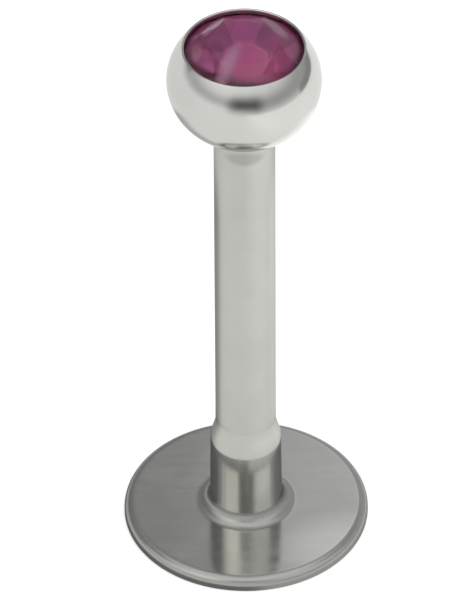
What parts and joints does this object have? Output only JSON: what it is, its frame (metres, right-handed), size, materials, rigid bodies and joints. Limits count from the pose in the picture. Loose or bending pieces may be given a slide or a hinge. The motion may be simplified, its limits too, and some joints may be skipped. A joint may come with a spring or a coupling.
{
  "type": "labret stud",
  "caption": "Labret stud: a thin round disc welded to a straight post, with a removable flattened ball whose bezel holds a faceted magenta stone.",
  "frame": {"origin": "centre of the disc's underside", "axes": "+Z along the post, from the disc to the ball; the part looks the same from every side, apart from the stone's facets"},
  "size_m": [0.0048, 0.0048, 0.012],
  "materials": {
    "post_steel": "polished post, satin disc",
    "ball_steel": "polished",
    "stone": "faceted, polished, foiled back"
  },
  "bodies": {
    "post": {"disc_post": "post_steel"},
    "ball": {"bezel_ball": "ball_steel", "stone": "stone"}
  },
  "joints": [
    {"name": "ball_off", "type": "slide", "parent": "post", "child": "ball", "axis": [0, 0, 1], "range_m": [0, 0.01]}
  ]
}
